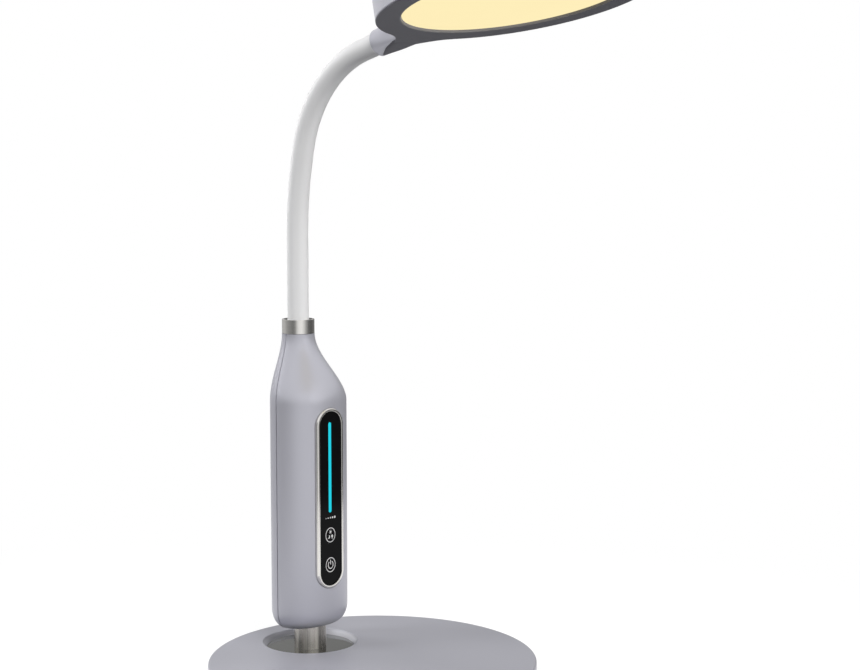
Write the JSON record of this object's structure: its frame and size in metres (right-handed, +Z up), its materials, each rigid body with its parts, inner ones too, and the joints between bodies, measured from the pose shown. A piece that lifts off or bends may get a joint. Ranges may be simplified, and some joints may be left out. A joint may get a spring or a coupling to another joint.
{
  "type": "led desk lamp",
  "caption": "Desk lamp with a weighted round base, a swivelling column with a touch panel, a flexible gooseneck and a flat round LED head.",
  "frame": {"origin": "centre of the pad's underside, on the table", "axes": "+Z up along the column, -Y towards the front, where the head reaches and the touch panel faces, +X to the right for someone who looks at the panel"},
  "size_m": [0.18, 0.2616, 0.3983],
  "materials": {
    "silver_plastic": "satin silver lacquer",
    "dark_plastic": "matt dark grey",
    "underside_plastic": "satin dark grey",
    "pad_foam": "closed-cell foam",
    "steel": "bare or zinc-plated",
    "chrome": "polished",
    "polished_disc": "dark polished plate",
    "black_glass": "glossy black",
    "light_guide": "lit cyan",
    "diffuser": "opal, lit warm white",
    "led_phosphor": "LED packages",
    "control_laminate": "green laminate",
    "led_laminate": "white-faced metal-core board",
    "white_nylon": "moulded",
    "soft_sleeve": "soft matt white",
    "wire_insulation": "matt",
    "black_plastic": "moulded",
    "brass": "plated"
  },
  "bodies": {
    "base": {"base_cover": "silver_plastic", "base_floor": "dark_plastic", "base_pad": "pad_foam", "ballast_plate": "steel", "base_screws": "steel", "power_jack": "black_plastic", "jack_nut": "chrome", "jack_pin": "brass", "swivel_bush": "white_nylon", "stop_pins": "steel"},
    "column": {"turntable_disc": "polished_disc", "post_tube": "chrome", "stop_washer": "steel", "post_nut": "steel", "power_wires": "wire_insulation", "body_front_shell": "silver_plastic", "body_rear_shell": "silver_plastic", "body_screws": "steel", "panel_bezel": "chrome", "touch_panel": "black_glass", "slider_light_guide": "light_guide", "slider_leds": "led_phosphor", "control_board": "control_laminate", "touch_springs": "chrome", "neck_collar": "chrome", "neck_root": "steel", "neck_sleeve": "soft_sleeve", "neck_wires": "wire_insulation"},
    "neck_1": {"neck_link_1": "steel"},
    "neck_2": {"neck_link_2": "steel"},
    "neck_3": {"neck_link_3": "steel"},
    "neck_4": {"neck_link_4": "steel"},
    "neck_5": {"neck_link_5": "steel"},
    "neck_6": {"neck_link_6": "steel"},
    "neck_7": {"neck_link_7": "steel"},
    "neck_8": {"neck_link_8": "steel"},
    "neck_9": {"neck_link_9": "steel"},
    "neck_10": {"neck_link_10": "steel"},
    "neck_11": {"neck_link_11": "steel"},
    "head": {"upper_ferrule": "steel", "head_housing": "silver_plastic", "head_bottom_cover": "underside_plastic", "diffuser": "diffuser", "led_board": "led_laminate", "led_chips": "led_phosphor", "led_connector": "white_nylon", "led_screws": "steel"}
  },
  "joints": [
    {"name": "column_swivel", "type": "hinge", "parent": "base", "child": "column", "pos_m": [0, 0.0515, 0.012], "axis": [0, 0, 1], "range_deg": [-90, 90], "deforming": ["power_wires"]},
    {"name": "neck_bend_1", "type": "hinge", "parent": "column", "child": "neck_1", "pos_m": [0, 0.0597, 0.2136], "axis": [1, 0, 0], "range_deg": [-12, 12], "deforming": ["neck_sleeve", "neck_wires"]},
    {"name": "neck_bend_2", "type": "hinge", "parent": "neck_1", "child": "neck_2", "pos_m": [0, 0.0597, 0.22825], "axis": [1, 0, 0], "range_deg": [-12, 12], "deforming": ["neck_sleeve", "neck_wires"]},
    {"name": "neck_sway_3", "type": "hinge", "parent": "neck_2", "child": "neck_3", "pos_m": [0, 0.0597, 0.2429], "axis": [0, 1, 0], "range_deg": [-15, 15], "deforming": ["neck_sleeve", "neck_wires"]},
    {"name": "neck_bend_4", "type": "hinge", "parent": "neck_3", "child": "neck_4", "pos_m": [0, 0.05958, 0.25755], "axis": [1, 0, 0], "range_deg": [-12, 12], "deforming": ["neck_sleeve", "neck_wires"]},
    {"name": "neck_bend_5", "type": "hinge", "parent": "neck_4", "child": "neck_5", "pos_m": [0, 0.0586, 0.27217], "axis": [1, 0, 0], "range_deg": [-12, 12], "deforming": ["neck_sleeve", "neck_wires"]},
    {"name": "neck_sway_6", "type": "hinge", "parent": "neck_5", "child": "neck_6", "pos_m": [0, 0.05662, 0.28668], "axis": [0, 0.9857, 0.1688], "range_deg": [-15, 15], "deforming": ["neck_sleeve", "neck_wires"]},
    {"name": "neck_bend_7", "type": "hinge", "parent": "neck_6", "child": "neck_7", "pos_m": [0, 0.05367, 0.30103], "axis": [1, 0, 0], "range_deg": [-12, 12], "deforming": ["neck_sleeve", "neck_wires"]},
    {"name": "neck_bend_8", "type": "hinge", "parent": "neck_7", "child": "neck_8", "pos_m": [0, 0.0488, 0.31482], "axis": [1, 0, 0], "range_deg": [-12, 12], "deforming": ["neck_sleeve", "neck_wires"]},
    {"name": "neck_sway_9", "type": "hinge", "parent": "neck_8", "child": "neck_9", "pos_m": [0, 0.04109, 0.32725], "axis": [0, 0.7884, 0.6152], "range_deg": [-15, 15], "deforming": ["neck_sleeve", "neck_wires"]},
    {"name": "neck_bend_10", "type": "hinge", "parent": "neck_9", "child": "neck_10", "pos_m": [0, 0.03091, 0.33774], "axis": [1, 0, 0], "range_deg": [-12, 12], "deforming": ["neck_sleeve", "neck_wires"]},
    {"name": "neck_bend_11", "type": "hinge", "parent": "neck_10", "child": "neck_11", "pos_m": [0, 0.01872, 0.34582], "axis": [1, 0, 0], "range_deg": [-12, 12], "deforming": ["neck_sleeve", "neck_wires"]},
    {"name": "neck_sway_12", "type": "hinge", "parent": "neck_11", "child": "head", "pos_m": [0, 0.00508, 0.3511], "axis": [0, 0.2588, 0.9659], "range_deg": [-15, 15], "deforming": ["neck_sleeve", "neck_wires"]}
  ]
}
